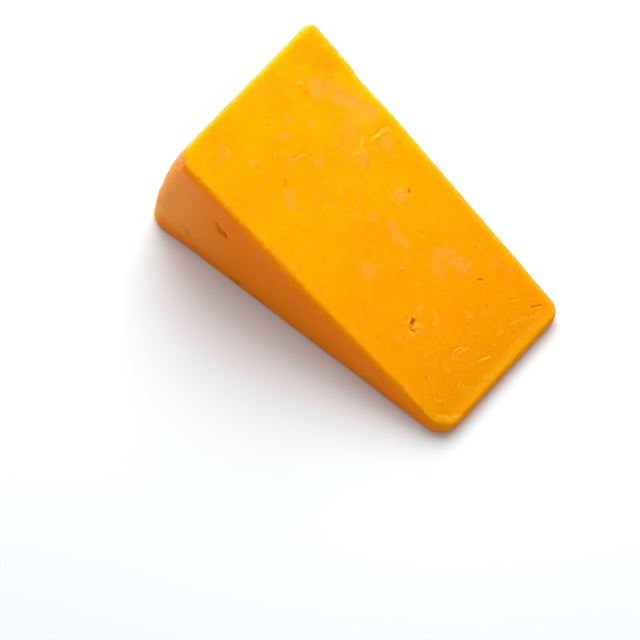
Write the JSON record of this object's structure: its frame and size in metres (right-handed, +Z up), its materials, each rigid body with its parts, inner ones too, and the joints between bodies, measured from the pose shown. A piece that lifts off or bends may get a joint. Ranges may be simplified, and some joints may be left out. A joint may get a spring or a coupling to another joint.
{
  "type": "cheese wedge",
  "caption": "A solid wedge of firm orange cheese cut from a low wheel, lying on its flat cut face and sloping down from the rind end to a thin end.",
  "frame": {"origin": "middle of the wedge's bounding box, on the flat cut face that it lies on", "axes": "+X runs along the wedge from the thick rind end to the thin end, +Z is up, +Y is across the wedge"},
  "size_m": [0.1408, 0.0724, 0.0637],
  "materials": {
    "cheese": "satin orange cheese, slightly waxy, with fine pale curd mottling, small torn pits and faint knife drag"
  },
  "bodies": {
    "root": {"cheese_wedge": "cheese"}
  },
  "joints": []
}
